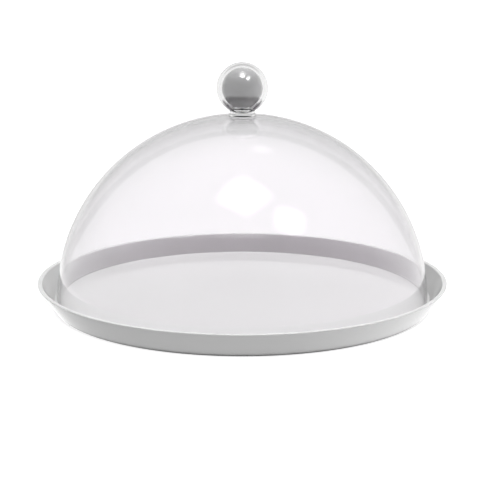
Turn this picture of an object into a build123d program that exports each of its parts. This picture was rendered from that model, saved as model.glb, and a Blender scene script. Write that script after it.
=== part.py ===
from build123d import *
import math
import os

# Cake dome: a clear half-sphere cover with a clear ball knob, standing in a white flared tray.
# Millimetres, +Z up. The origin is the middle of the tray's foot ring, on the table.

# Dome
dome_radius = 165.0
dome_wall = 3.2
dome_rim_rise = 2.6
dome_rim_round = 1.0

# Tray
tray_height = 22.8
tray_lip_run = 16.7
tray_wall = 3.4
tray_floor = 3.6
tray_foot_depth = 4.0
tray_foot_width = 4.5
tray_foot_slope = 3.0
tray_corner_round = 1.0
tray_base_round = 2.0
tray_lip_round = 0.5
tray_foot_round = 0.8

# Knob
ball_radius = 22.5
ball_wall = 2.7
ball_rise = 1.75
neck_radius = 11.2
neck_flare = 0.5
neck_foot_land = 0.15
neck_foot_round = 0.35
neck_ball_round = 0.3
bore_radius = 7.0
bore_floor = 3.5
pin_radius = 1.2
pin_root_round = 0.4
spigot_radius = 6.0
spigot_round = 0.5
seam_lap = 1.2

# Fits
dome_play = 1.75
core_gap = 2.0
core_seat_gap = 0.12
core_mouth_gap = 0.2
bond_gap = 0.1

# Tray, worked out: the wall leans outward by the lip's run over the tray's height
floor_top = tray_foot_depth + tray_floor
wall_lean = math.atan2(tray_lip_run, tray_height)
wall_across = tray_wall / math.cos(wall_lean)
floor_radius = dome_radius + dome_play
base_radius = floor_radius + wall_across - floor_top * math.tan(wall_lean)
lip_radius = base_radius + tray_lip_run
foot_radius = base_radius - tray_base_round
recess_radius = foot_radius - tray_foot_width

# Dome, worked out: its rim lies a little above the centre of the sphere, and the knob stands
# on a small flat that is cut across the crown
dome_centre = floor_top - dome_rim_rise
dome_inner = dome_radius - dome_wall
neck_foot_radius = neck_radius + neck_flare
hole_radius = spigot_radius + bond_gap
crown_flat = dome_centre + math.sqrt(dome_radius**2 - neck_foot_radius**2)
crown_under = dome_centre + math.sqrt(dome_inner**2 - hole_radius**2)

# Knob, worked out: the cap's mouth is just wide enough for the core to go in
ball_height = dome_centre + dome_radius + ball_rise + ball_radius
cavity_radius = ball_radius - ball_wall
core_radius = cavity_radius - core_gap
dish_radius = core_radius + core_seat_gap
mouth_radius = core_radius + core_mouth_gap
mouth_height = ball_height - math.sqrt(cavity_radius**2 - mouth_radius**2)
lap_top = mouth_height - bond_gap
seam_height = lap_top - seam_lap


def ball_outline_radius(sphere_radius, height):
    """Radius of a sphere about the ball's centre, in the plane at a height."""
    return math.sqrt(sphere_radius**2 - (height - ball_height) ** 2)


def ball_outline_angle(radius, height):
    """Angle in degrees from the ball's centre to a point, up from the horizontal."""
    return math.degrees(math.atan2(height - ball_height, radius))


def ball_arc(sphere_radius, start_angle, end_angle):
    """Arc about the ball's centre, between two angles in degrees."""
    return CenterArc((0, ball_height), sphere_radius, start_angle, end_angle - start_angle)


def outline(*edges):
    """Closed half section, with the radius along X and the height along Y."""
    return make_face(edges)


def round_corner(section, radius, height, size):
    """Round the corner of a half section that lies at a radius and a height."""
    corner = section.vertices().sort_by_distance((radius, height))[0]
    return fillet(corner, size)


def turned(section):
    """Solid of revolution of a half section about the Z axis."""
    return revolve(Plane.XZ * section, Axis.Z)


def make_tray():
    """White tray: flat floor, flared wall, rounded lip and a low ring to stand on."""
    lip_inner = lip_radius - wall_across
    slope_top = recess_radius - tray_foot_slope
    section = outline(
        Polyline(
            (0, tray_foot_depth),
            (slope_top, tray_foot_depth),
            (recess_radius, 0),
            (base_radius, 0),
            (lip_radius, tray_height),
            (lip_inner, tray_height),
            (floor_radius, floor_top),
            (0, floor_top),
            close=True,
        )
    )
    section = round_corner(section, slope_top, tray_foot_depth, tray_foot_round)
    section = round_corner(section, recess_radius, 0, tray_foot_round)
    section = round_corner(section, base_radius, 0, tray_base_round)
    section = round_corner(section, lip_radius, tray_height, tray_lip_round)
    section = round_corner(section, lip_inner, tray_height, tray_lip_round)
    section = round_corner(section, floor_radius, floor_top, tray_corner_round)
    return turned(section)


def make_dome():
    """Clear half-sphere shell with a rounded rim, and a flat and a hole at the crown."""
    centre = (0, dome_centre)
    rim_outer = math.sqrt(dome_radius**2 - dome_rim_rise**2)
    rim_inner = math.sqrt(dome_inner**2 - dome_rim_rise**2)
    outer_start = math.degrees(math.asin(dome_rim_rise / dome_radius))
    inner_start = math.degrees(math.asin(dome_rim_rise / dome_inner))
    outer_end = math.degrees(math.acos(neck_foot_radius / dome_radius))
    inner_end = math.degrees(math.acos(hole_radius / dome_inner))
    section = outline(
        CenterArc(centre, dome_radius, outer_start, outer_end - outer_start),
        Polyline((neck_foot_radius, crown_flat), (hole_radius, crown_flat), (hole_radius, crown_under)),
        CenterArc(centre, dome_inner, inner_start, inner_end - inner_start),
        Line((rim_inner, floor_top), (rim_outer, floor_top)),
    )
    section = round_corner(section, rim_outer, floor_top, dome_rim_round)
    section = round_corner(section, rim_inner, floor_top, dome_rim_round)
    return turned(section)


def seam_radius():
    """Radius of the step that divides the ball's wall between the cup's lip and the cap's skirt."""
    return (mouth_radius + ball_outline_radius(ball_radius, seam_height)) / 2


def make_knob_cup():
    """Lower clear part of the knob: spigot, bored neck with a pin for the core, and bowl with a lip."""
    foot_top = crown_flat + neck_foot_land
    neck_top = ball_height - math.sqrt(ball_radius**2 - neck_radius**2)
    bowl_rim = ball_outline_radius(ball_radius, seam_height)
    lip_inner = ball_outline_radius(cavity_radius, lap_top)
    bore_top = ball_height - math.sqrt(cavity_radius**2 - bore_radius**2)
    bore_end = crown_flat + bore_floor
    pin_top = ball_height - math.sqrt(dish_radius**2 - pin_radius**2)
    section = outline(
        Polyline(
            (0, crown_under),
            (spigot_radius, crown_under),
            (spigot_radius, crown_flat),
            (neck_foot_radius, crown_flat),
            (neck_foot_radius, foot_top),
            (neck_radius, foot_top),
            (neck_radius, neck_top),
        ),
        ball_arc(
            ball_radius,
            ball_outline_angle(neck_radius, neck_top),
            ball_outline_angle(bowl_rim, seam_height),
        ),
        Polyline(
            (bowl_rim, seam_height),
            (seam_radius(), seam_height),
            (seam_radius(), lap_top),
            (lip_inner, lap_top),
        ),
        ball_arc(
            cavity_radius,
            ball_outline_angle(bore_radius, bore_top),
            ball_outline_angle(lip_inner, lap_top),
        ),
        Polyline(
            (bore_radius, bore_top),
            (bore_radius, bore_end),
            (pin_radius, bore_end),
            (pin_radius, pin_top),
        ),
        ball_arc(dish_radius, -90, ball_outline_angle(pin_radius, pin_top)),
        Line((0, ball_height - dish_radius), (0, crown_under)),
    )
    section = round_corner(section, spigot_radius, crown_under, spigot_round)
    section = round_corner(section, neck_radius, foot_top, neck_foot_round)
    section = round_corner(section, neck_radius, neck_top, neck_ball_round)
    section = round_corner(section, pin_radius, bore_end, pin_root_round)
    return turned(section)


def make_knob_cap():
    """Upper clear shell of the knob, with a skirt that laps over the cup's lip."""
    skirt_inner = seam_radius() + bond_gap
    skirt_outer = ball_outline_radius(ball_radius, seam_height)
    section = outline(
        ball_arc(ball_radius, ball_outline_angle(skirt_outer, seam_height), 90),
        Line((0, ball_height + ball_radius), (0, ball_height + cavity_radius)),
        ball_arc(cavity_radius, ball_outline_angle(mouth_radius, mouth_height), 90),
        Polyline(
            (mouth_radius, mouth_height),
            (skirt_inner, mouth_height),
            (skirt_inner, seam_height),
            (skirt_outer, seam_height),
        ),
    )
    return turned(section)


def make_knob_core():
    """Grey ball that stands on the cup's pin, inside the clear knob."""
    return Pos(0, 0, ball_height) * Sphere(core_radius)


os.makedirs("parts", exist_ok=True)
pieces = {
    "tray": make_tray(),
    "dome": make_dome(),
    "knob_cup": make_knob_cup(),
    "knob_cap": make_knob_cap(),
    "knob_core": make_knob_core(),
}
for node, piece in pieces.items():
    export_step(piece, f"parts/{node}.step")
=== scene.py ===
import logging
import math
from dataclasses import dataclass, field
from enum import Enum
from typing import Sequence

import bmesh
import bpy
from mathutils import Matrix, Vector


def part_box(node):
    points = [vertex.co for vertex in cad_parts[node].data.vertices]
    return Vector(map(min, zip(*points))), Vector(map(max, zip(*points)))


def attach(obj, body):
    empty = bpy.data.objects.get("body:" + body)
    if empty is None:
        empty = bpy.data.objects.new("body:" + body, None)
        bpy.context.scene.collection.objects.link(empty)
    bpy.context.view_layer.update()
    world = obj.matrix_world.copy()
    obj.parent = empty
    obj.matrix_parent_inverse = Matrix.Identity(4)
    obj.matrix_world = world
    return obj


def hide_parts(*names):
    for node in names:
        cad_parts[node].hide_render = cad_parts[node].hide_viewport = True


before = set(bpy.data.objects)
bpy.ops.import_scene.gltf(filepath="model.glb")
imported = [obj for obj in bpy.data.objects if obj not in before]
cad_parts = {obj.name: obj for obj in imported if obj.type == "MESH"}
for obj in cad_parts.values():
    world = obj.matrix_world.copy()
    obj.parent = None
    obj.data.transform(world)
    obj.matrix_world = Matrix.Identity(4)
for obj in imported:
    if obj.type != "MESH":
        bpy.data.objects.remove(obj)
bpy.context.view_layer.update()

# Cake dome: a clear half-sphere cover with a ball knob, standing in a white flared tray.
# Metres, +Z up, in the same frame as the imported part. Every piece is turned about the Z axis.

MM = 0.001
ON_AXIS = 1e-7
LOG = logging.getLogger("cake_dome")

Point = tuple[float, float]
Colour = tuple[float, float, float]
Place = tuple[float, float, float]


class Body(Enum):
    """Rigid bodies of the part that pieces ride on."""

    TRAY = "tray"
    DOME = "dome"


class Ray(Enum):
    """Kinds of ray that the floor and the surround tell apart."""

    CAMERA = "Is Camera Ray"
    GLOSSY = "Is Glossy Ray"
    THROUGH = "Is Transmission Ray"


class Side(Enum):
    """Sides of the studio, with the way that each lies from the object."""

    FRONT = (0.0, -1.0, 0.0)
    RIGHT = (1.0, 0.0, 0.0)
    BACK = (0.0, 1.0, 0.0)
    LEFT = (-1.0, 0.0, 0.0)


class Turn(Enum):
    """Which side of a turned outline the material lies on."""

    OUTSIDE = 1
    CAVITY = -1


# Outlines


@dataclass(frozen=True)
class Corner:
    """Corner of a half section, in metres.

    Attributes:
        radius: Distance from the axis.
        height: Height above the table.
        rounding: Radius that it is rounded to, or 0 where it stays sharp.
    """

    radius: float
    height: float
    rounding: float = 0.0


def arc(centre_height: float, radius: float, start: float, end: float, steps: int) -> list[Point]:
    """Points along a circle about a centre on the axis.

    Args:
        centre_height: Height of the centre, in metres.
        radius: Radius of the circle, in metres.
        start: First angle, in degrees up from the horizontal.
        end: Last angle, in degrees up from the horizontal.
        steps: Number of equal steps between the two.

    Returns:
        The points, as radius and height.
    """
    points = []
    for step in range(steps + 1):
        angle = math.radians(start + (end - start) * step / steps)
        points.append((max(radius * math.cos(angle), 0.0), centre_height + radius * math.sin(angle)))
    return points


def rounded(corners: Sequence[Corner], steps: int = 8) -> list[Point]:
    """Open outline through corners, with each inner corner rounded by an arc.

    Args:
        corners: The corners in order; the first and the last stay sharp.
        steps: Number of steps in each rounding.

    Returns:
        The points, as radius and height.
    """
    points = [(corners[0].radius, corners[0].height)]
    for before, here, after in zip(corners, corners[1:], corners[2:]):
        place = Vector((here.radius, here.height))
        if here.rounding <= 0.0:
            points.append(tuple(place))
            continue
        back = (Vector((before.radius, before.height)) - place).normalized()
        ahead = (Vector((after.radius, after.height)) - place).normalized()
        half = back.angle(ahead) / 2.0
        middle = place + (back + ahead).normalized() * (here.rounding / math.sin(half))
        first = place + back * (here.rounding / math.tan(half)) - middle
        last = place + ahead * (here.rounding / math.tan(half)) - middle
        sweep = first.angle_signed(last)
        for step in range(steps + 1):
            turn = -sweep * step / steps
            spoke = Vector((
                first.x * math.cos(turn) - first.y * math.sin(turn),
                first.x * math.sin(turn) + first.y * math.cos(turn),
            ))
            points.append(tuple(middle + spoke))
    points.append((corners[-1].radius, corners[-1].height))
    return points


# Meshes


def add_object(name: str, data: bpy.types.ID) -> bpy.types.Object:
    """Put a new object in the scene.

    Args:
        name: Name of the object.
        data: Mesh, lamp or camera that it holds.

    Returns:
        The new object.
    """
    item = bpy.data.objects.new(name, data)
    bpy.context.scene.collection.objects.link(item)
    return item


@dataclass
class Lathe:
    """Turns half sections about the Z axis into one smooth mesh.

    Attributes:
        name: Name of the piece.
        segments: Number of flat facets round the axis.
        crease: Angle in degrees above which an edge stays sharp.
        mesh: Mesh that each outline adds to.
    """

    name: str
    segments: int
    crease: float = 40.0
    mesh: bmesh.types.BMesh = field(init=False, default_factory=bmesh.new)

    def ring(self, radius: float, height: float) -> list[bmesh.types.BMVert]:
        """Make one ring of points, or a single point on the axis.

        Args:
            radius: Radius of the ring, in metres.
            height: Height of the ring, in metres.

        Returns:
            The ring's vertices in order round the axis.
        """
        if radius < ON_AXIS:
            return [self.mesh.verts.new((0.0, 0.0, height))]
        step = 2.0 * math.pi / self.segments
        return [
            self.mesh.verts.new((radius * math.cos(step * i), radius * math.sin(step * i), height))
            for i in range(self.segments)
        ]

    def turn(self, outline: Sequence[Point], closed: bool = False, side: Turn = Turn.OUTSIDE) -> "Lathe":
        """Add the surface that an outline sweeps.

        Args:
            outline: Points of the half section, with the material on the left.
            closed: Whether the last point joins the first.
            side: Whether the outline bounds a solid or a hollow in it.

        Returns:
            The lathe itself, so that calls can follow each other.
        """
        points = list(outline)[:: side.value]
        rings = [self.ring(*point) for point in points]
        if closed:
            rings.append(rings[0])
        for low, high in zip(rings, rings[1:]):
            self.join(low, high)
        return self

    def join(self, low: list[bmesh.types.BMVert], high: list[bmesh.types.BMVert]) -> None:
        """Fill between two rings.

        Args:
            low: Ring that comes first along the outline.
            high: Ring that comes next.
        """
        for i in range(self.segments):
            j = (i + 1) % self.segments
            if len(low) == 1:
                self.mesh.faces.new((low[0], high[j], high[i]))
            elif len(high) == 1:
                self.mesh.faces.new((low[i], low[j], high[0]))
            else:
                self.mesh.faces.new((low[i], low[j], high[j], high[i]))

    def finish(self) -> bpy.types.Object:
        """Write the mesh to a new object with smooth faces and sharp creases.

        Returns:
            The new object, linked to the scene.
        """
        self.mesh.normal_update()
        for face in self.mesh.faces:
            face.smooth = True
        for edge in self.mesh.edges:
            if len(edge.link_faces) == 2 and edge.calc_face_angle(0.0) > math.radians(self.crease):
                edge.smooth = False
        data = bpy.data.meshes.new(self.name)
        self.mesh.to_mesh(data)
        self.mesh.free()
        return add_object(self.name, data)


# Node trees


class Wiring:
    """Adds and links nodes of one tree in few words."""

    def __init__(self, tree: bpy.types.NodeTree) -> None:
        """Keep the tree that the nodes go into."""
        self.tree = tree

    def add(self, kind: str, **inputs: object) -> bpy.types.Node:
        """Add a node and set or link its inputs.

        Args:
            kind: Blender's name for the node type.
            inputs: Values or output sockets by input name, with _ for a space.

        Returns:
            The new node.
        """
        node = self.tree.nodes.new(kind)
        for key, value in inputs.items():
            self.put(node.inputs[key.replace("_", " ")], value)
        return node

    def put(self, socket: bpy.types.NodeSocket, value: object) -> None:
        """Link an output to a socket, or set the socket's own value.

        Args:
            socket: Input to fill.
            value: Output socket, number or colour.
        """
        if isinstance(value, bpy.types.NodeSocket):
            self.tree.links.new(value, socket)
        else:
            socket.default_value = value

    def number(self, kind: str, first: object, second: object = 0.0) -> bpy.types.NodeSocket:
        """Work out one number from one or two.

        Args:
            kind: Operation of a Math node.
            first: Number or output socket.
            second: Number or output socket, where the operation takes two.

        Returns:
            The result's socket.
        """
        node = self.tree.nodes.new("ShaderNodeMath")
        node.operation = kind
        self.put(node.inputs[0], first)
        self.put(node.inputs[1], second)
        return node.outputs[0]

    def ramp(
        self, value: object, low: float, high: float, at_low: float, at_high: float,
    ) -> bpy.types.NodeSocket:
        """Turn one number smoothly into another between two limits.

        Args:
            value: Socket to read.
            low: Value where the change starts.
            high: Value where the change ends.
            at_low: Result at and below the start.
            at_high: Result at and above the end.

        Returns:
            The result's socket.
        """
        node = self.tree.nodes.new("ShaderNodeMapRange")
        node.interpolation_type = "SMOOTHSTEP"
        inputs = {"Value": value, "From Min": low, "From Max": high, "To Min": at_low, "To Max": at_high}
        for name, item in inputs.items():
            self.put(node.inputs[name], item)
        return node.outputs[0]

    def place(self) -> bpy.types.NodeSocket:
        """Socket with the place in the object's own coordinates."""
        return self.tree.nodes.new("ShaderNodeTexCoord").outputs["Object"]

    def noise(self, scale: float, detail: float, roughness: float = 0.5) -> bpy.types.NodeSocket:
        """Cloudy pattern in the object's own coordinates.

        Args:
            scale: Number of clouds in a metre.
            detail: Number of finer layers.
            roughness: Strength of the finer layers.

        Returns:
            Socket with a number about 0.5.
        """
        place = self.place()
        node = self.add("ShaderNodeTexNoise", Vector=place, Scale=scale, Detail=detail, Roughness=roughness)
        return node.outputs[0]

    def vector(self, kind: str, first: object, second: object = (0.0, 0.0, 0.0)) -> bpy.types.Node:
        """Work out a vector or a number from one or two vectors.

        Args:
            kind: Operation of a Vector Math node.
            first: Vector or output socket.
            second: Vector or output socket, where the operation takes two.

        Returns:
            The node, with its Vector and Value sockets.
        """
        node = self.tree.nodes.new("ShaderNodeVectorMath")
        node.operation = kind
        self.put(node.inputs[0], first)
        self.put(node.inputs[1], second)
        return node

    def blend(self, share: object, first: object, second: object) -> bpy.types.NodeSocket:
        """Mix two numbers.

        Args:
            share: Share of the second number.
            first: Number or output socket.
            second: Number or output socket.

        Returns:
            The result's socket.
        """
        # A Mix node has its numbers at inputs 2 and 3
        node = self.tree.nodes.new("ShaderNodeMix")
        for place, item in ((0, share), (2, first), (3, second)):
            self.put(node.inputs[place], item)
        return node.outputs[0]

    def blend_colours(self, share: object, first: Colour, second: Colour) -> bpy.types.NodeSocket:
        """Mix two colours.

        Args:
            share: Share of the second colour.
            first: Colour.
            second: Colour.

        Returns:
            The result's socket.
        """
        # A Mix node has its colours at inputs 6 and 7, and the mixed one at output 2
        node = self.tree.nodes.new("ShaderNodeMix")
        node.data_type = "RGBA"
        for place, item in ((0, share), (6, (*first, 1.0)), (7, (*second, 1.0))):
            self.put(node.inputs[place], item)
        return node.outputs[2]

    def overlay(self, share: object, first: object, second: object) -> bpy.types.NodeSocket:
        """Mix two shaders.

        Args:
            share: Share of the second shader.
            first: Shader's output socket.
            second: Shader's output socket.

        Returns:
            The result's socket.
        """
        node = self.tree.nodes.new("ShaderNodeMixShader")
        for place, item in enumerate((share, first, second)):
            self.put(node.inputs[place], item)
        return node.outputs[0]

    def is_ray(self, kind: Ray) -> bpy.types.NodeSocket:
        """Socket that is 1 for one kind of ray."""
        return self.tree.nodes.new("ShaderNodeLightPath").outputs[kind.value]


def new_material(name: str) -> tuple[bpy.types.Material, bpy.types.Node, Wiring]:
    """Make a material with a Principled shader.

    Args:
        name: Name of the material.

    Returns:
        The material, its shader node and the wiring of its tree.
    """
    material = bpy.data.materials.new(name)
    material.use_nodes = True
    return material, material.node_tree.nodes["Principled BSDF"], Wiring(material.node_tree)


# Finishes


@dataclass(frozen=True)
class ClearPlastic:
    """Clear polished plastic with faint ripples from the mould.

    Attributes:
        name: Name of the material.
        tint: Colour of light that comes through.
        sheen: Colour of what it mirrors.
        ior: Index of refraction.
        polish: Roughness where the surface is best polished.
        haze: Roughness where it has been handled most.
        smear_scale: Number of handled patches in a metre.
        smear_start: Value of the patches' pattern where the haze begins.
        smear_end: Value of that pattern where it is at its strongest.
        ripple: Height of the mould's ripples, in metres.
        ripple_scale: Number of ripples in a metre.
    """

    name: str
    tint: Colour = (1.0, 1.0, 1.0)
    sheen: Colour = (1.0, 1.0, 1.0)
    ior: float = 1.49
    polish: float = 0.0
    haze: float = 0.012
    smear_scale: float = 26.0
    smear_start: float = 0.5
    smear_end: float = 0.85
    ripple: float = 0.000004
    ripple_scale: float = 14.0

    def material(self) -> bpy.types.Material:
        """Make the material.

        Returns:
            The material.
        """
        material, shader, wiring = new_material(self.name)
        shader.inputs["Base Color"].default_value = (*self.tint, 1.0)
        shader.inputs["Specular Tint"].default_value = (*self.sheen, 1.0)
        shader.inputs["Transmission Weight"].default_value = 1.0
        shader.inputs["IOR"].default_value = self.ior
        smears = wiring.noise(scale=self.smear_scale, detail=4.0)
        hazy = wiring.ramp(smears, self.smear_start, self.smear_end, self.polish, self.haze)
        wiring.put(shader.inputs["Roughness"], hazy)
        ripples = wiring.noise(scale=self.ripple_scale, detail=1.0)
        bump = wiring.add("ShaderNodeBump", Height=ripples, Strength=1.0, Distance=self.ripple)
        wiring.put(shader.inputs["Normal"], bump.outputs[0])
        return material


@dataclass(frozen=True)
class GlossMoulding:
    """Opaque gloss plastic, with the slight orange peel and cloudiness of a moulding.

    Attributes:
        name: Name of the material.
        colour: Colour of the plastic.
        shade: Darkest share of that colour in the clouds.
        cloud_scale: Number of clouds in a metre.
        cloud_start: Value of the clouds' pattern where the colour is darkest.
        cloud_end: Value of that pattern where it is lightest.
        gloss: Roughness of the clean surface.
        dull: Roughness where it has been handled.
        smear_scale: Number of handled patches in a metre.
        smear_start: Value of the patches' pattern where they begin.
        smear_end: Value of that pattern where they are dullest.
        metallic: Share of metal flake.
        peel: Height of the orange peel, in metres.
        peel_scale: Number of its dimples in a metre.
        edge: Painted highlight on the lip: how much lighter the colour is made above a height, as a share
            of the colour.
        painted_highlight_start: Height where that painted highlight begins.
        painted_highlight_end: Height where it is at its lightest.
    """

    name: str
    colour: Colour
    shade: float = 0.985
    cloud_scale: float = 9.0
    cloud_start: float = 0.3
    cloud_end: float = 0.7
    gloss: float = 0.08
    dull: float = 0.16
    smear_scale: float = 40.0
    smear_start: float = 0.35
    smear_end: float = 0.75
    metallic: float = 0.0
    peel: float = 0.000006
    peel_scale: float = 260.0
    # Painted highlight: the colour is made lighter above a height, standing in for the lip's shine
    edge: float = 1.0
    painted_highlight_start: float = 21.9 * MM
    painted_highlight_end: float = 22.5 * MM

    def material(self) -> bpy.types.Material:
        """Make the material.

        Returns:
            The material.
        """
        material, shader, wiring = new_material(self.name)
        wiring.put(shader.inputs["Base Color"], self.cloudy_colour_with_painted_highlight(wiring))
        shader.inputs["Metallic"].default_value = self.metallic
        smears = wiring.noise(scale=self.smear_scale, detail=5.0, roughness=0.6)
        dulled = wiring.ramp(smears, self.smear_start, self.smear_end, self.gloss, self.dull)
        wiring.put(shader.inputs["Roughness"], dulled)
        dimples = wiring.noise(scale=self.peel_scale, detail=1.0)
        bump = wiring.add("ShaderNodeBump", Height=dimples, Strength=1.0, Distance=self.peel)
        wiring.put(shader.inputs["Normal"], bump.outputs[0])
        return material

    def cloudy_colour_with_painted_highlight(self, wiring: Wiring) -> bpy.types.NodeSocket:
        """Work out the colour, with its clouds and a painted highlight that lightens it above a height.

        Args:
            wiring: Tree to work in.

        Returns:
            The colour's socket.
        """
        clouds = wiring.noise(scale=self.cloud_scale, detail=3.0)
        clear = wiring.ramp(clouds, self.cloud_start, self.cloud_end, 0.0, 1.0)
        shaded = tuple(self.shade * part for part in self.colour)
        clouded = wiring.blend_colours(clear, shaded, self.colour)
        # Painted highlight: the colour is made lighter above a height on the lip, standing in for its shine
        height = wiring.add("ShaderNodeSeparateXYZ", Vector=wiring.place()).outputs["Z"]
        painted_highlight = wiring.ramp(height, self.painted_highlight_start, self.painted_highlight_end, 1.0, self.edge)
        scaled = wiring.vector("SCALE", clouded)
        wiring.put(scaled.inputs["Scale"], painted_highlight)
        return scaled.outputs["Vector"]


DOME_FINISH = ClearPlastic("dome_clear", tint=(0.997, 0.983, 1.0), sheen=(1.0, 0.8, 0.98))
KNOB_FINISH = ClearPlastic("knob_clear", ripple=0.000001)
# The tray's edge factor paints a highlight onto the lip by lightening its colour
TRAY_FINISH = GlossMoulding("tray_white", colour=(0.78, 0.78, 0.78), gloss=0.015, dull=0.035, edge=1.27)
CORE_FINISH = GlossMoulding(
    "core_grey", colour=(0.58, 0.577, 0.586), gloss=0.08, dull=0.12, metallic=0.3, peel=0.000001,
)


# Sub-assemblies


def clear_to_light(piece: bpy.types.Object) -> None:
    """Let lamp light through a clear piece to what stands behind it.

    Args:
        piece: Clear piece.
    """
    piece.visible_shadow = False
    piece.visible_diffuse = False


def seat(piece: bpy.types.Object, body: Body, nodes: Sequence[str]) -> None:
    """Put a piece on its body in place of its CAD nodes, and report it.

    Args:
        piece: New piece, in place.
        body: Body that it rides on.
        nodes: CAD nodes that it stands for.
    """
    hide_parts(*nodes)
    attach(piece, body.value)
    LOG.info("%s stands for %s on %s", piece.name, ", ".join(nodes), body.value)


@dataclass
class Tray:
    """White tray: flat floor, flared wall, rounded lip and a low ring to stand on.

    Attributes:
        wall: Thickness of the wall.
        floor: Thickness of the floor.
        foot_depth: Height of the hollow under the floor.
        foot_width: Width of the ring that it stands on.
        foot_slope: Run of the hollow's sloped edge.
        lip_run: How far the wall leans out over its height.
        corner_round: Radius between floor and wall.
        base_round: Radius of the base's outer edge.
        lip_round: Radius of both edges of the lip.
        foot_round: Radius of the foot ring's inner edges.
        segments: Number of flat facets round the axis.
        height: Height of the lip, as packed.
        reach: Radius of the lip at its widest, as packed.
    """

    wall: float = 3.4 * MM
    floor: float = 3.6 * MM
    foot_depth: float = 4.0 * MM
    foot_width: float = 4.5 * MM
    foot_slope: float = 3.0 * MM
    lip_run: float = 16.7 * MM
    corner_round: float = 1.0 * MM
    base_round: float = 2.0 * MM
    lip_round: float = 0.5 * MM
    foot_round: float = 0.8 * MM
    segments: int = 256
    height: float = field(init=False)
    reach: float = field(init=False)

    def __post_init__(self) -> None:
        """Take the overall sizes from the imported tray."""
        _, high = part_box("tray")
        self.height = high[2]
        self.reach = high[0]

    @property
    def floor_height(self) -> float:
        """Height of the floor's upper face."""
        return self.foot_depth + self.floor

    def section(self) -> list[Point]:
        """Half section of the tray, from the axis under the floor round to the axis above it.

        Returns:
            The points, as radius and height.
        """
        lean = math.atan2(self.lip_run, self.height)
        across = self.wall / math.cos(lean)
        lip = self.reach + self.lip_round * (1.0 / math.tan((math.pi / 2.0 - lean) / 2.0) - 1.0)
        base = lip - self.lip_run
        ring_inner = base - self.base_round - self.foot_width
        floor_edge = base - across + self.floor_height * math.tan(lean)
        corners = [
            Corner(0.0, self.foot_depth),
            Corner(ring_inner - self.foot_slope, self.foot_depth, self.foot_round),
            Corner(ring_inner, 0.0, self.foot_round),
            Corner(base, 0.0, self.base_round),
            Corner(lip, self.height, self.lip_round),
            Corner(lip - across, self.height, self.lip_round),
            Corner(floor_edge, self.floor_height, self.corner_round),
            Corner(0.0, self.floor_height),
        ]
        return rounded(corners)

    def build(self) -> bpy.types.Object:
        """Make the tray's shape.

        Returns:
            The tray, without a finish.
        """
        return Lathe("tray_moulding", segments=self.segments).turn(self.section()).finish()

    def dress(self, piece: bpy.types.Object, finish: GlossMoulding) -> None:
        """Give the tray its finish and seat it on its body.

        Args:
            piece: The tray.
            finish: Finish of the moulding.
        """
        piece.data.materials.append(finish.material())
        seat(piece, Body.TRAY, ["tray"])


@dataclass
class Dome:
    """Clear half-sphere cover with a rounded rim and a small flat at the crown.

    Attributes:
        wall: Thickness of the shell.
        rim_rise: Height of the rim above the centre of the sphere.
        rim_round: Radius of both edges of the rim.
        rim_fit: Share of that radius that the rounding takes, to end short of the shell's arcs.
        crown_flat: Radius of the flat that the knob's foot stands on.
        hole: Radius of the hole that the knob's spigot goes through.
        rings: Number of rings from rim to crown.
        segments: Number of flat facets round the axis.
        radius: Radius of the sphere, as packed.
        rim_height: Height of the rim, as packed.
        centre: Height of the sphere's centre.
        seat_height: Height of the flat, as packed.
    """

    wall: float = 3.2 * MM
    rim_rise: float = 2.6 * MM
    rim_round: float = 1.0 * MM
    rim_fit: float = 0.9
    crown_flat: float = 11.7 * MM
    hole: float = 6.1 * MM
    rings: int = 96
    segments: int = 256
    radius: float = field(init=False)
    rim_height: float = field(init=False)
    centre: float = field(init=False)
    seat_height: float = field(init=False)

    def __post_init__(self) -> None:
        """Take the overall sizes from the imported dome."""
        low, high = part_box("dome")
        self.radius = math.hypot(high[0], self.rim_rise + self.rim_round)
        self.rim_height = low[2]
        self.centre = self.rim_height - self.rim_rise
        self.seat_height = high[2]

    def section(self) -> list[Point]:
        """Half section of the shell, from the hole's lower edge round the rim to its upper edge.

        Returns:
            The points, as radius and height.
        """
        inner = self.radius - self.wall
        rim_outer = math.sqrt(self.radius ** 2 - self.rim_rise ** 2)
        rim_inner = math.sqrt(inner ** 2 - self.rim_rise ** 2)
        rim_start = math.degrees((self.rim_rise + self.rim_round) / self.radius)
        crown = math.degrees(math.acos(self.crown_flat / self.radius))
        under = arc(self.centre, inner, math.degrees(math.acos(self.hole / inner)), rim_start, self.rings)
        over = arc(self.centre, self.radius, rim_start, crown, self.rings)
        rim = rounded([
            Corner(*under[-1]),
            Corner(rim_inner, self.rim_height, self.rim_fit * self.rim_round),
            Corner(rim_outer, self.rim_height, self.rim_fit * self.rim_round),
            Corner(*over[0]),
        ])
        return under[:-1] + rim[:-1] + over + [(self.hole, self.seat_height)]

    def build(self) -> bpy.types.Object:
        """Make the dome's shape.

        Returns:
            The dome, without a finish.
        """
        return Lathe("dome_shell", segments=self.segments).turn(self.section(), closed=True).finish()

    def dress(self, piece: bpy.types.Object, finish: ClearPlastic) -> None:
        """Give the dome its finish and seat it on its body.

        Args:
            piece: The dome.
            finish: Finish of the shell.
        """
        piece.data.materials.append(finish.material())
        clear_to_light(piece)
        seat(piece, Body.DOME, ["dome"])


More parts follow.
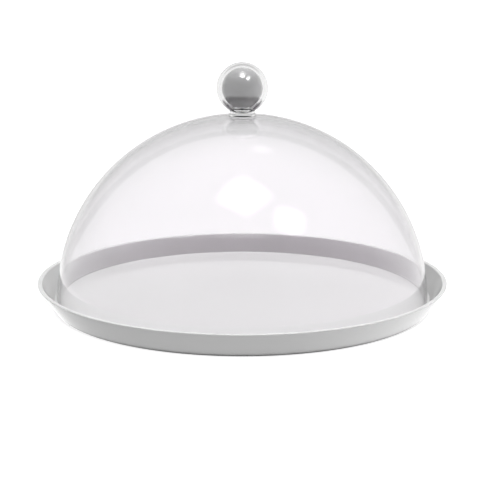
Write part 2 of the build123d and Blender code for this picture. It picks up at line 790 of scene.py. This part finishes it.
@dataclass
class Knob:
    """Clear hollow ball on a bored neck, with a grey ball inside.

    Attributes:
        dome: Dome that it stands on.
        wall: Thickness of the clear ball.
        neck: Radius of the neck.
        flare: How far the neck's foot stands out.
        foot_land: Height of the foot's upright edge.
        foot_edge: Radius of the foot's edges.
        foot_round: Radius between foot and neck.
        ball_round: Radius between neck and ball.
        bore: Radius of the blind bore in the neck.
        bore_floor: Height of the bore's floor above the neck's foot.
        pin: Radius of the pin that the grey ball stands on.
        pin_root: Radius between the pin and the bore's floor.
        pin_gap: Gap between the grey ball and the pin.
        spigot: Radius of the spigot in the dome's hole.
        spigot_round: Radius of the spigot's lower edge.
        joint_gap: Gap between the neck's foot and the dome's crown.
        ball_steps: Number of steps along the outline of each ball.
        cove_steps: Number of steps round the cove between neck and ball.
        tip_steps: Number of steps across the pin's dished tip.
        segments: Number of flat facets round the axis.
        crease: Angle in degrees above which an edge of the clear ball stays sharp.
        core_radius: Radius of the grey ball, as packed.
        centre: Height of both balls' centre, as packed.
        ball_radius: Radius of the clear ball, as packed.
        foot_height: Height of the neck's foot.
        spigot_end: Height of the spigot's lower end, level with the lower edge of the dome's hole.
    """

    dome: Dome
    wall: float = 2.7 * MM
    neck: float = 11.2 * MM
    flare: float = 0.5 * MM
    foot_land: float = 0.15 * MM
    foot_edge: float = 0.05 * MM
    foot_round: float = 0.35 * MM
    ball_round: float = 0.3 * MM
    bore: float = 7.0 * MM
    bore_floor: float = 3.5 * MM
    pin: float = 1.2 * MM
    pin_root: float = 0.4 * MM
    pin_gap: float = 0.12 * MM
    spigot: float = 6.0 * MM
    spigot_round: float = 0.3 * MM
    joint_gap: float = 0.02 * MM
    ball_steps: int = 96
    cove_steps: int = 10
    tip_steps: int = 4
    segments: int = 160
    crease: float = 35.0
    core_radius: float = field(init=False)
    centre: float = field(init=False)
    ball_radius: float = field(init=False)
    foot_height: float = field(init=False)
    spigot_end: float = field(init=False)

    def __post_init__(self) -> None:
        """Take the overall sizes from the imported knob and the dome."""
        low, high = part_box("knob_core")
        self.core_radius = (high[2] - low[2]) / 2.0
        self.centre = (high[2] + low[2]) / 2.0
        self.ball_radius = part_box("knob_cap")[1][2] - self.centre
        self.foot_height = self.dome.seat_height + self.joint_gap
        under_radius = self.dome.radius - self.dome.wall
        self.spigot_end = self.dome.centre + math.sqrt(under_radius ** 2 - self.dome.hole ** 2)

    def outer_section(self) -> list[Point]:
        """Half section of the outside, from the spigot's end to the top of the ball.

        Returns:
            The points, as radius and height.
        """
        foot = self.neck + self.flare
        foot_top = self.foot_height + self.foot_land
        meet = math.sqrt((self.ball_radius + self.ball_round) ** 2 - (self.neck + self.ball_round) ** 2)
        slope = math.degrees(math.atan2(-meet, self.neck + self.ball_round))
        foot_line = rounded([
            Corner(0.0, self.spigot_end),
            Corner(self.spigot, self.spigot_end, self.spigot_round),
            Corner(self.spigot, self.foot_height),
            Corner(foot, self.foot_height, self.foot_edge),
            Corner(foot, foot_top, self.foot_edge),
            Corner(self.neck, foot_top, self.foot_round),
            Corner(self.neck, self.centre - meet),
        ])
        cove = []
        for step in range(1, self.cove_steps):
            angle = math.radians(180.0 + slope * step / self.cove_steps)
            cove.append((
                self.neck + self.ball_round + self.ball_round * math.cos(angle),
                self.centre - meet + self.ball_round * math.sin(angle),
            ))
        return foot_line + cove + arc(self.centre, self.ball_radius, slope, 90.0, self.ball_steps)

    def cavity_section(self) -> list[Point]:
        """Half section of the hollow, from the pin's tip through the bore up to the top.

        Returns:
            The points, as radius and height.
        """
        hollow = self.ball_radius - self.wall
        tip = self.core_radius + self.pin_gap
        tip_edge = -math.degrees(math.acos(self.pin / tip))
        bore_edge = -math.degrees(math.acos(self.bore / hollow))
        floor = self.foot_height + self.bore_floor
        pin = arc(self.centre, tip, -90.0, tip_edge, self.tip_steps)
        ball = arc(self.centre, hollow, bore_edge, 90.0, self.ball_steps)
        bore = rounded([
            Corner(*pin[-1]),
            Corner(self.pin, floor, self.pin_root),
            Corner(self.bore, floor),
            Corner(*ball[0]),
        ])
        return pin[:-1] + bore[:-1] + ball

    def build(self) -> tuple[bpy.types.Object, bpy.types.Object]:
        """Make the shapes of the clear ball with its neck and of the grey ball.

        Returns:
            The clear ball and the grey ball, without a finish.
        """
        clear = Lathe("knob_ball", segments=self.segments, crease=self.crease)
        clear.turn(self.outer_section()).turn(self.cavity_section(), side=Turn.CAVITY)
        grey = Lathe("knob_inner_ball", segments=self.segments)
        grey.turn(arc(self.centre, self.core_radius, -90.0, 90.0, self.ball_steps))
        return clear.finish(), grey.finish()

    def dress(
        self, ball: bpy.types.Object, core: bpy.types.Object, clear: ClearPlastic, grey: GlossMoulding,
    ) -> None:
        """Give both balls their finish and seat them on the dome's body.

        Args:
            ball: Clear ball with its neck.
            core: Grey ball.
            clear: Finish of the clear ball.
            grey: Finish of the grey ball.
        """
        ball.data.materials.append(clear.material())
        clear_to_light(ball)
        seat(ball, Body.DOME, ["knob_cup", "knob_cap"])
        core.data.materials.append(grey.material())
        # The tray's floor shows no shadow of so small a ball
        core.visible_shadow = False
        seat(core, Body.DOME, ["knob_core"])


# Studio


@dataclass(frozen=True)
class Softbox:
    """Square lamp that faces the object.

    Attributes:
        name: Name of the lamp.
        place: Where it hangs, in metres.
        side: Length of its side, in metres.
        radiance: Brightness of its face, where 1 is white.
        turn: Turn about its own axis, in degrees.
        fade: Share of the side over which the edge fades.
        mirrored: Whether polished pieces show it.
    """

    name: str
    place: Place
    side: float
    radiance: float
    turn: float = 0.0
    fade: float = 0.25
    mirrored: bool = True

    def build(self, target: Vector) -> bpy.types.Object:
        """Hang the lamp.

        Args:
            target: Point that it faces.

        Returns:
            The lamp.
        """
        data = bpy.data.lights.new(self.name, "AREA")
        data.shape = "SQUARE"
        data.size = self.side
        data.energy = self.radiance * math.pi * self.side ** 2
        lamp = add_object(self.name, data)
        lamp.location = self.place
        aim = target - Vector(self.place)
        lamp.rotation_euler = aim.to_track_quat("-Z", "Y").to_euler()
        lamp.rotation_euler.rotate_axis("Z", math.radians(self.turn))
        lamp.visible_glossy = self.mirrored
        lamp.visible_transmission = self.mirrored
        self.soften(data)
        return lamp

    def soften(self, data: bpy.types.Light) -> None:
        """Let the lamp's face fade towards its edges.

        Args:
            data: Lamp to change.
        """
        data.use_nodes = True
        wiring = Wiring(data.node_tree)
        place = wiring.tree.nodes.new("ShaderNodeNewGeometry").outputs["Parametric"]
        parts = wiring.add("ShaderNodeSeparateXYZ", Vector=place)
        # The face's own coordinates run from 0 to 1
        middle = 0.5
        edges = []
        for axis in ("X", "Y"):
            off = wiring.number("SUBTRACT", parts.outputs[axis], middle)
            reach = wiring.number("ABSOLUTE", off)
            edges.append(wiring.ramp(reach, middle - self.fade, middle, 1.0, 0.0))
        wiring.put(wiring.tree.nodes["Emission"].inputs["Strength"], wiring.number("MULTIPLY", *edges))


def by_side(wiring: Wiring, way: bpy.types.NodeSocket, levels: Sequence[object]) -> bpy.types.NodeSocket:
    """Mix four levels by the side of the object that a direction or a place lies on.

    Args:
        wiring: Tree to work in.
        way: Direction or place.
        levels: Number or output socket for each side, in the order of Side.

    Returns:
        The level's socket.
    """
    flat = wiring.vector("MULTIPLY", way, (1.0, 1.0, 0.0)).outputs["Vector"]
    ahead = wiring.vector("NORMALIZE", flat).outputs["Vector"]
    total = 0.0
    for side, level in zip(Side, levels):
        facing = wiring.vector("DOT_PRODUCT", ahead, side.value).outputs["Value"]
        facing = wiring.number("MAXIMUM", facing, 0.0)
        share = wiring.number("MULTIPLY", facing, facing)
        total = wiring.number("ADD", total, wiring.number("MULTIPLY", share, level))
    return total


@dataclass(frozen=True)
class Backdrop:
    """One side of the studio as a ray sees it, where 1 is white.

    Attributes:
        near: Brightness of the floor beside the tray.
        horizon: Brightness of the far floor and the foot of the wall.
        high: Brightness of the wall higher up.
        low_end: Steepness, as a sine, up to which the wall is as bright as the horizon.
        high_start: Steepness from which it is as bright as higher up.
    """

    near: float
    horizon: float
    high: float
    low_end: float = 0.22
    high_start: float = 0.42


@dataclass(frozen=True)
class Surround:
    """Everything round the object, as one kind of ray sees it.

    Attributes:
        front: Side that the camera stands on.
        right: Right side.
        back: Side behind the object.
        left: Left side.
        top: Brightness overhead.
        floor_near: Radius up to which the floor is as bright as beside the tray.
        floor_far: Radius from which it is as bright as the horizon.
        ceiling_start: Steepness, as a sine, where the ceiling begins.
        ceiling_end: Steepness where nothing but the ceiling is left.
    """

    front: Backdrop
    right: Backdrop
    back: Backdrop
    left: Backdrop
    top: float
    floor_near: float = 0.22
    floor_far: float = 0.45
    ceiling_start: float = 0.45
    ceiling_end: float = 0.98

    @property
    def sides(self) -> tuple[Backdrop, ...]:
        """The four sides, in the order of Side."""
        return (self.front, self.right, self.back, self.left)

    def floor_level(self, wiring: Wiring, place: bpy.types.NodeSocket) -> bpy.types.NodeSocket:
        """Brightness of the floor at a place.

        Args:
            wiring: Tree to work in.
            place: Place on the floor, from the object's axis.

        Returns:
            The level's socket.
        """
        far = wiring.vector("LENGTH", place).outputs["Value"]
        levels = [wiring.ramp(far, self.floor_near, self.floor_far, s.near, s.horizon) for s in self.sides]
        return by_side(wiring, place, levels)

    def wall_level(self, wiring: Wiring, way: bpy.types.NodeSocket) -> bpy.types.NodeSocket:
        """Brightness of the walls and the ceiling in a direction.

        Args:
            wiring: Tree to work in.
            way: Direction.

        Returns:
            The level's socket.
        """
        steep = wiring.add("ShaderNodeSeparateXYZ", Vector=way).outputs["Z"]
        levels = [wiring.ramp(steep, s.low_end, s.high_start, s.horizon, s.high) for s in self.sides]
        ceiling = wiring.ramp(steep, self.ceiling_start, self.ceiling_end, 0.0, 1.0)
        return wiring.blend(ceiling, by_side(wiring, way, levels), self.top)


@dataclass(frozen=True)
class FloorBounce:
    """Ring of pale floor that throws the lamps' light back up at the tray.

    Attributes:
        name: Name of the ring.
        inner: Inner radius.
        outer: Outer radius.
        levels: Brightness on each side, in the order of Side.
        lift: Height above the floor.
        segments: Number of flat facets round the axis.
    """

    name: str
    inner: float
    outer: float
    levels: tuple[float, float, float, float]
    lift: float = 0.4 * MM
    segments: int = 48

    def build(self) -> bpy.types.Object:
        """Lay the ring, which lights the object and doesn't show.

        Returns:
            The ring.
        """
        outline = [(self.outer, self.lift), (self.inner, self.lift)]
        ring = Lathe(self.name, segments=self.segments).turn(outline).finish()
        material, _, wiring = new_material(self.name)
        glow = wiring.add("ShaderNodeEmission", Strength=by_side(wiring, wiring.place(), self.levels))
        wiring.put(wiring.tree.nodes["Material Output"].inputs[0], glow.outputs[0])
        material.cycles.emission_sampling = "FRONT"
        ring.data.materials.append(material)
        ring.visible_camera = False
        ring.visible_glossy = False
        ring.visible_transmission = False
        ring.visible_shadow = False
        return ring


@dataclass
class Studio:
    """Floor, surround, lamps and camera.

    Attributes:
        floor_side: Side of the square floor.
        glow_start: Radius up to which the floor's own white is at its weakest.
        glow_end: Radius from which it is full white.
        glow_near: Strength of that white at its weakest.
        cast: Grey of the floor that the lamps light and the object shades.
        mirrored: Surround as polished pieces show it.
        beyond: Surround as it shows through clear pieces.
        bounces: Rings of floor that light the tray from below.
        softboxes: Lamps.
        aim: Point that the lamps face.
        camera_place: Where the camera stands.
        camera_pitch: How far the camera looks down, in radians.
        lens: Focal length, in millimetres.
        film_width: Width of the film behind the lens, in millimetres.
        sight: How far the camera sees.
        ray_depth: Number of times that a ray of light may turn.
    """

    floor_side: float = 12.0
    glow_start: float = 0.2
    glow_end: float = 0.5
    glow_near: float = 0.88
    cast: float = 0.3
    mirrored: Surround = Surround(
        front=Backdrop(near=0.65, horizon=1.2, high=1.4),
        right=Backdrop(near=1.2, horizon=1.5, high=1.7),
        back=Backdrop(near=0.7, horizon=0.8, high=0.4, low_end=0.0, high_start=0.1),
        left=Backdrop(near=1.48, horizon=0.9, high=1.5),
        top=1.4,
        ceiling_start=0.7,
    )
    beyond: Surround = Surround(
        front=Backdrop(near=0.9, horizon=0.6, high=0.6),
        right=Backdrop(near=0.88, horizon=0.8, high=0.6),
        back=Backdrop(near=0.97, horizon=0.96, high=0.6),
        left=Backdrop(near=0.97, horizon=0.8, high=0.6),
        top=0.9,
    )
    bounces: tuple[FloorBounce, ...] = (
        FloorBounce("near_bounce", inner=0.168, outer=0.3, levels=(0.68, 1.28, 0.75, 0.44)),
        FloorBounce("far_bounce", inner=0.3, outer=0.8, levels=(1.2, 1.43, 0.66, 0.44)),
    )
    softboxes: tuple[Softbox, ...] = (
        Softbox("overhead_softbox", (0.05, -0.63, 3.0), side=1.54, radiance=5.5, turn=47.0, fade=0.36),
        Softbox("right_softbox", (1.57, -1.35, 3.0), side=1.38, radiance=8.7, turn=45.0, fade=0.5),
        Softbox("rear_softbox", (0.43, 1.57, 3.0), side=0.7, radiance=0.7, fade=0.45),
        Softbox("top_softbox", (0.0, 1.6, 2.75), side=1.6, radiance=13.6, mirrored=False),
        Softbox("side_softbox", (2.4, 1.4, 2.4), side=1.6, radiance=5.5, mirrored=False),
        Softbox("left_softbox", (-2.4, -0.2, 2.4), side=1.6, radiance=3.0, mirrored=False),
    )
    aim: Place = (0.0, 0.0, 0.1)
    camera_place: Place = (-0.002, -1.7265, 0.4705)
    camera_pitch: float = 0.2345
    lens: float = 150.0
    film_width: float = 36.0
    sight: float = 50.0
    ray_depth: int = 5

    def build_floor(self) -> bpy.types.Object:
        """Lay a floor that looks white to the camera and keeps the object's shadow.

        Returns:
            The floor.
        """
        half = self.floor_side / 2.0
        data = bpy.data.meshes.new("floor")
        corners = [(-half, -half, 0.0), (half, -half, 0.0), (half, half, 0.0), (-half, half, 0.0)]
        data.from_pydata(corners, [], [(0, 1, 2, 3)])
        floor = add_object("floor", data)
        material, _, wiring = new_material("floor_white")
        place = wiring.place()
        far = wiring.vector("LENGTH", place).outputs["Value"]
        strength = wiring.ramp(far, self.glow_start, self.glow_end, self.glow_near, 1.0)
        glow = wiring.add("ShaderNodeEmission", Strength=strength)
        cast = wiring.add("ShaderNodeBsdfDiffuse", Color=(self.cast, self.cast, self.cast, 1.0))
        white = wiring.tree.nodes.new("ShaderNodeAddShader")
        wiring.put(white.inputs[0], glow.outputs[0])
        wiring.put(white.inputs[1], cast.outputs[0])
        levels = [surround.floor_level(wiring, place) for surround in (self.mirrored, self.beyond)]
        level = wiring.blend(wiring.is_ray(Ray.THROUGH), *levels)
        shown = wiring.add("ShaderNodeEmission", Strength=level)
        surface = wiring.overlay(wiring.is_ray(Ray.CAMERA), shown.outputs[0], white.outputs[0])
        wiring.put(wiring.tree.nodes["Material Output"].inputs[0], surface)
        data.materials.append(material)
        floor.visible_diffuse = False
        floor.visible_shadow = False
        return floor

    def build_surround(self) -> bpy.types.World:
        """Put white behind the object, and the walls and ceiling that polished and clear pieces show.

        Returns:
            The world.
        """
        world = bpy.data.worlds.new("studio")
        bpy.context.scene.world = world
        world.use_nodes = True
        wiring = Wiring(world.node_tree)
        sky = wiring.tree.nodes["Background"]
        sky.inputs["Color"].default_value = (1.0, 1.0, 1.0, 1.0)
        way = wiring.tree.nodes.new("ShaderNodeTexCoord").outputs["Generated"]
        levels = [surround.wall_level(wiring, way) for surround in (self.mirrored, self.beyond)]
        shown = wiring.blend(wiring.is_ray(Ray.THROUGH), *levels)
        bright = wiring.number("MAXIMUM", wiring.is_ray(Ray.GLOSSY), wiring.is_ray(Ray.THROUGH))
        walls = wiring.number("MULTIPLY", bright, shown)
        level = wiring.number("MAXIMUM", walls, wiring.is_ray(Ray.CAMERA))
        wiring.put(sky.inputs["Strength"], level)
        return world

    def build_camera(self) -> bpy.types.Object:
        """Stand the camera where the photograph was taken from.

        Returns:
            The camera.
        """
        data = bpy.data.cameras.new("camera")
        data.lens = self.lens
        data.sensor_width = self.film_width
        data.clip_end = self.sight
        camera = add_object("camera", data)
        camera.location = self.camera_place
        camera.rotation_euler = (math.pi / 2.0 - self.camera_pitch, 0.0, 0.0)
        bpy.context.scene.camera = camera
        return camera

    def build(self) -> None:
        """Set up the whole studio."""
        scene = bpy.context.scene
        scene.view_settings.view_transform = "Standard"
        scene.cycles.caustics_reflective = False
        scene.cycles.caustics_refractive = False
        scene.cycles.diffuse_bounces = 0
        scene.cycles.max_bounces = self.ray_depth
        self.build_floor()
        self.build_surround()
        for bounce in self.bounces:
            bounce.build()
        for softbox in self.softboxes:
            softbox.build(Vector(self.aim))
        self.build_camera()


def main() -> None:
    """Build the tray, the dome and the knob, then the studio round them."""
    logging.basicConfig(level=logging.INFO, format="%(name)s: %(message)s")
    tray = Tray()
    tray.dress(tray.build(), TRAY_FINISH)
    dome = Dome()
    dome.dress(dome.build(), DOME_FINISH)
    knob = Knob(dome)
    knob.dress(*knob.build(), KNOB_FINISH, CORE_FINISH)
    Studio().build()


if __name__ == "__main__":
    main()
